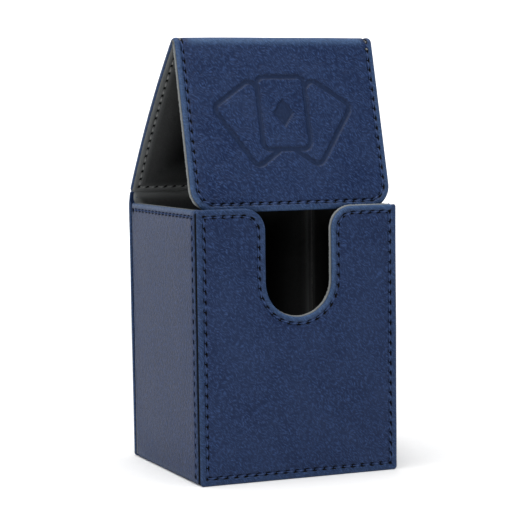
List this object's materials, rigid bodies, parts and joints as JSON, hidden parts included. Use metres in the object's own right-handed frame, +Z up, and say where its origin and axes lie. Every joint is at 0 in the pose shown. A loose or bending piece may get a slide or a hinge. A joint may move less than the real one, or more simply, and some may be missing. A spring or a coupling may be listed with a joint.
{
  "type": "card deck box",
  "caption": "Leather-covered deck box for trading cards, with a U-shaped thumb notch in front and a lid and closing flap on soft leather hinges, standing half open.",
  "frame": {"origin": "middle of the box's base, on the surface it stands on", "axes": "+X along the front to the right, +Y to the back, +Z up; the notched front panel faces -Y"},
  "size_m": [0.08, 0.0738, 0.1619],
  "materials": {
    "leather": "satin, fine hair-cell grain",
    "lining": "brushed suede",
    "greyboard": "matt",
    "thread": "twisted, slight sheen",
    "magnet": "nickel plated"
  },
  "bodies": {
    "box": {"front_cover": "leather", "front_board": "greyboard", "front_lining": "lining", "front_stitching": "thread", "left_side_cover": "leather", "left_side_board": "greyboard", "left_side_lining": "lining", "left_side_stitching": "thread", "right_side_cover": "leather", "right_side_board": "greyboard", "right_side_lining": "lining", "right_side_stitching": "thread", "back_cover": "leather", "back_board": "greyboard", "back_lining": "lining", "back_stitching": "thread", "base_cover": "leather", "base_board": "greyboard", "base_lining": "lining", "front_magnets": "magnet"},
    "lid": {"lid_cover": "leather", "lid_board": "greyboard", "lid_lining": "lining", "lid_stitching": "thread", "rear_hinge_leather": "leather", "rear_hinge_lining": "lining"},
    "flap": {"flap_cover": "leather", "flap_board": "greyboard", "flap_lining": "lining", "flap_stitching": "thread", "flap_magnets": "magnet", "ridge_leather": "leather", "ridge_lining": "lining"}
  },
  "joints": [
    {"name": "lid_hinge", "type": "hinge", "parent": "box", "child": "lid", "pos_m": [0, 0.03588, 0.10246], "axis": [-1, 0, 0], "range_deg": [0, 172], "deforming": ["rear_hinge_leather", "rear_hinge_lining"]},
    {"name": "flap_fold", "type": "hinge", "parent": "lid", "child": "flap", "pos_m": [0, -0.0156, 0.16135], "axis": [-1, 0, 0], "range_deg": [0, 118], "deforming": ["ridge_leather", "ridge_lining"]}
  ]
}
